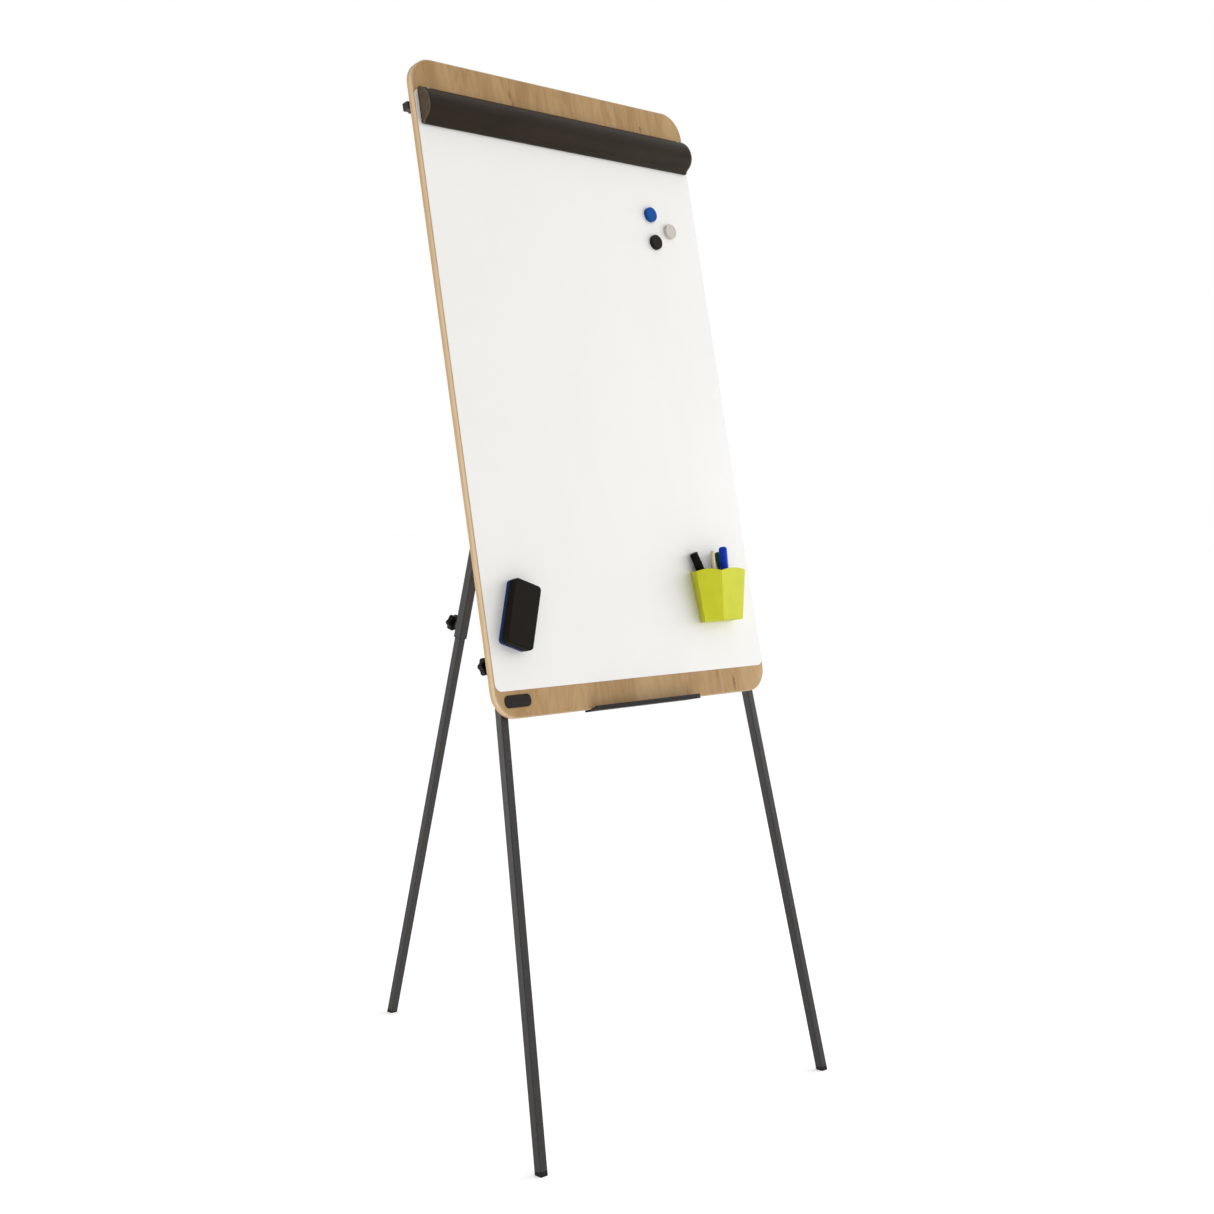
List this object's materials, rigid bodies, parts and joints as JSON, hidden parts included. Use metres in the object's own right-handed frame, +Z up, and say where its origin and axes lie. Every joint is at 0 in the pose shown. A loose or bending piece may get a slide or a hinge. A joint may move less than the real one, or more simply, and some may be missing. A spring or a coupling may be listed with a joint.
{
  "type": "flipchart easel",
  "caption": "Flipchart easel: leaning whiteboard panel with clamp bar on telescopic square-tube legs, with a pen cup, eraser, magnets and pen tray.",
  "frame": {"origin": "on the floor, in the middle of the footprint of the whole object", "axes": "+Z up, -Y in front of the board, +X across it to the right"},
  "size_m": [0.756, 0.9031, 1.9013],
  "materials": {
    "oak_board": "matte oak laminate",
    "oak_edging": "satin",
    "white_enamel": "gloss enamel",
    "badge_plastic": "gloss",
    "black_steel_tube": "fine satin powder coat",
    "zinc_steel": "zinc plated",
    "aluminium_rail": "satin anodised",
    "dark_plastic": "matte",
    "black_rubber": "matte",
    "clamp_plastic": "satin",
    "clamp_cap_plastic": "satin",
    "arm_cap_plastic": "matte",
    "knob_plastic": "satin",
    "magnet_blue_plastic": "satin",
    "magnet_grey_plastic": "satin",
    "magnet_black_plastic": "satin",
    "magnet_core": "sintered",
    "eraser_foam": "matte",
    "blue_felt": "felt",
    "lime_plastic": "satin",
    "marker_barrel_plastic": "gloss",
    "marker_black_plastic": "gloss",
    "marker_blue_plastic": "gloss",
    "marker_green_plastic": "gloss",
    "cream_wood": "satin lacquer"
  },
  "bodies": {
    "board_frame": {"board_panel": "oak_board", "board_edging": "oak_edging", "whiteboard_sheet": "white_enamel", "name_badge": "badge_plastic", "pen_tray": "black_steel_tube", "pen_tray_end_caps": "dark_plastic", "clamp_base_rail": "aluminium_rail", "clamp_rail_screws": "zinc_steel", "arm_guide_tube": "black_steel_tube", "guide_tube_saddles": "zinc_steel", "leg_hinge_bracket": "zinc_steel", "leg_hinge_pin": "zinc_steel", "front_leg_tube_left": "black_steel_tube", "front_leg_tube_right": "black_steel_tube", "front_leg_saddles": "zinc_steel", "board_screws_rear": "zinc_steel", "front_leg_top_caps": "dark_plastic", "front_leg_bushes": "dark_plastic", "front_clamp_nuts": "black_steel_tube"},
    "rear_leg": {"rear_leg_tube": "black_steel_tube", "rear_leg_hinge_head": "dark_plastic", "rear_leg_bush": "dark_plastic", "rear_clamp_nut": "black_steel_tube"},
    "clamp": {"clamp_bar": "clamp_plastic", "clamp_end_caps": "clamp_cap_plastic", "clamp_grip_strip": "black_rubber", "clamp_hinge_pins": "zinc_steel"},
    "inner_leg_left": {"inner_leg_tube_left": "black_steel_tube", "foot_left": "black_rubber", "guide_plug_left": "dark_plastic"},
    "knob_left": {"clamp_knob_left": "knob_plastic"},
    "inner_leg_right": {"inner_leg_tube_right": "black_steel_tube", "foot_right": "black_rubber", "guide_plug_right": "dark_plastic"},
    "knob_right": {"clamp_knob_right": "knob_plastic"},
    "inner_leg_rear": {"inner_leg_tube_rear": "black_steel_tube", "foot_rear": "black_rubber", "guide_plug_rear": "dark_plastic"},
    "knob_rear": {"clamp_knob_rear": "knob_plastic"},
    "arm_left": {"side_arm_left": "black_steel_tube", "side_arm_cap_left": "arm_cap_plastic"},
    "peg_left": {"paper_peg_left": "dark_plastic"},
    "arm_right": {"side_arm_right": "black_steel_tube", "side_arm_cap_right": "arm_cap_plastic"},
    "peg_right": {"paper_peg_right": "dark_plastic"},
    "round_magnet_blue": {"magnet_blue": "magnet_blue_plastic"},
    "round_magnet_grey": {"magnet_grey": "magnet_grey_plastic"},
    "round_magnet_black": {"magnet_black": "magnet_black_plastic"},
    "eraser": {"eraser_body": "eraser_foam", "eraser_felt": "blue_felt", "eraser_magnet": "magnet_core"},
    "cup": {"pen_cup": "lime_plastic", "pen_cup_magnet": "magnet_core"},
    "marker_black": {"marker_barrel_black": "marker_barrel_plastic"},
    "cap_black": {"marker_cap_black": "marker_black_plastic"},
    "marker_blue": {"marker_barrel_blue": "marker_barrel_plastic"},
    "cap_blue": {"marker_cap_blue": "marker_blue_plastic"},
    "marker_green": {"marker_barrel_green": "marker_barrel_plastic"},
    "cap_green": {"marker_cap_green": "marker_green_plastic"},
    "slim_pen": {"cream_pen": "cream_wood"}
  },
  "joints": [
    {"name": "rear_leg_fold", "type": "hinge", "parent": "board_frame", "child": "rear_leg", "pos_m": [0, -0.05998, 1.77815], "axis": [-1, 0, 0], "range_deg": [0, 27.5]},
    {"name": "clamp_open", "type": "hinge", "parent": "board_frame", "child": "clamp", "pos_m": [0, -0.09435, 1.83974], "axis": [-1, 0, 0], "range_deg": [0, 75]},
    {"name": "leg_height_left", "type": "slide", "parent": "board_frame", "child": "inner_leg_left", "axis": [0.0649, 0.2032, 0.977], "range_m": [0, 0.8]},
    {"name": "knob_turn_left", "type": "hinge", "parent": "board_frame", "child": "knob_left", "pos_m": [-0.31497, -0.27143, 0.82636], "axis": [0, 0.979, -0.2036], "range_deg": [0, 300]},
    {"name": "leg_height_right", "type": "slide", "parent": "board_frame", "child": "inner_leg_right", "axis": [-0.0649, 0.2032, 0.977], "range_m": [0, 0.8]},
    {"name": "knob_turn_right", "type": "hinge", "parent": "board_frame", "child": "knob_right", "pos_m": [0.31497, -0.27143, 0.82636], "axis": [0, 0.979, -0.2036], "range_deg": [0, 300]},
    {"name": "leg_height_rear", "type": "slide", "parent": "rear_leg", "child": "inner_leg_rear", "axis": [0, -0.2723, 0.9622], "range_m": [0, 0.8]},
    {"name": "knob_turn_rear", "type": "hinge", "parent": "rear_leg", "child": "knob_rear", "pos_m": [0, 0.20288, 0.84943], "axis": [0, 0.9622, 0.2723], "range_deg": [0, 300]},
    {"name": "arm_slide_left", "type": "slide", "parent": "board_frame", "child": "arm_left", "axis": [-1, 0, 0], "range_m": [0, 0.25]},
    {"name": "peg_slide_left", "type": "slide", "parent": "board_frame", "child": "peg_left", "axis": [1, 0, 0], "range_m": [-0.05, 0.05]},
    {"name": "arm_slide_right", "type": "slide", "parent": "board_frame", "child": "arm_right", "axis": [1, 0, 0], "range_m": [0, 0.25]},
    {"name": "peg_slide_right", "type": "slide", "parent": "board_frame", "child": "peg_right", "axis": [1, 0, 0], "range_m": [-0.05, 0.05]},
    {"name": "magnet_off_blue", "type": "slide", "parent": "board_frame", "child": "round_magnet_blue", "axis": [0, -0.979, 0.2036], "range_m": [0, 0.1]},
    {"name": "magnet_off_grey", "type": "slide", "parent": "board_frame", "child": "round_magnet_grey", "axis": [0, -0.979, 0.2036], "range_m": [0, 0.1]},
    {"name": "magnet_off_black", "type": "slide", "parent": "board_frame", "child": "round_magnet_black", "axis": [0, -0.979, 0.2036], "range_m": [0, 0.1]},
    {"name": "eraser_off", "type": "slide", "parent": "board_frame", "child": "eraser", "axis": [0, -0.979, 0.2036], "range_m": [0, 0.12]},
    {"name": "cup_off", "type": "slide", "parent": "board_frame", "child": "cup", "axis": [0, -0.979, 0.2036], "range_m": [0, 0.12]},
    {"name": "marker_out_black", "type": "slide", "parent": "cup", "child": "marker_black", "axis": [-0.37, 0.1863, 0.9101], "range_m": [0, 0.15]},
    {"name": "cap_off_black", "type": "slide", "parent": "marker_black", "child": "cap_black", "axis": [-0.37, 0.1863, 0.9101], "range_m": [0, 0.05]},
    {"name": "marker_out_blue", "type": "slide", "parent": "cup", "child": "marker_blue", "axis": [-0.0458, 0.0729, 0.9963], "range_m": [0, 0.15]},
    {"name": "cap_off_blue", "type": "slide", "parent": "marker_blue", "child": "cap_blue", "axis": [-0.0458, 0.0729, 0.9963], "range_m": [0, 0.05]},
    {"name": "marker_out_green", "type": "slide", "parent": "cup", "child": "marker_green", "axis": [-0.1308, 0.2029, 0.9704], "range_m": [0, 0.15]},
    {"name": "cap_off_green", "type": "slide", "parent": "marker_green", "child": "cap_green", "axis": [-0.1308, 0.2029, 0.9704], "range_m": [0, 0.05]},
    {"name": "slim_pen_out", "type": "slide", "parent": "cup", "child": "slim_pen", "axis": [0.002, 0.0989, 0.9951], "range_m": [0, 0.15]}
  ]
}
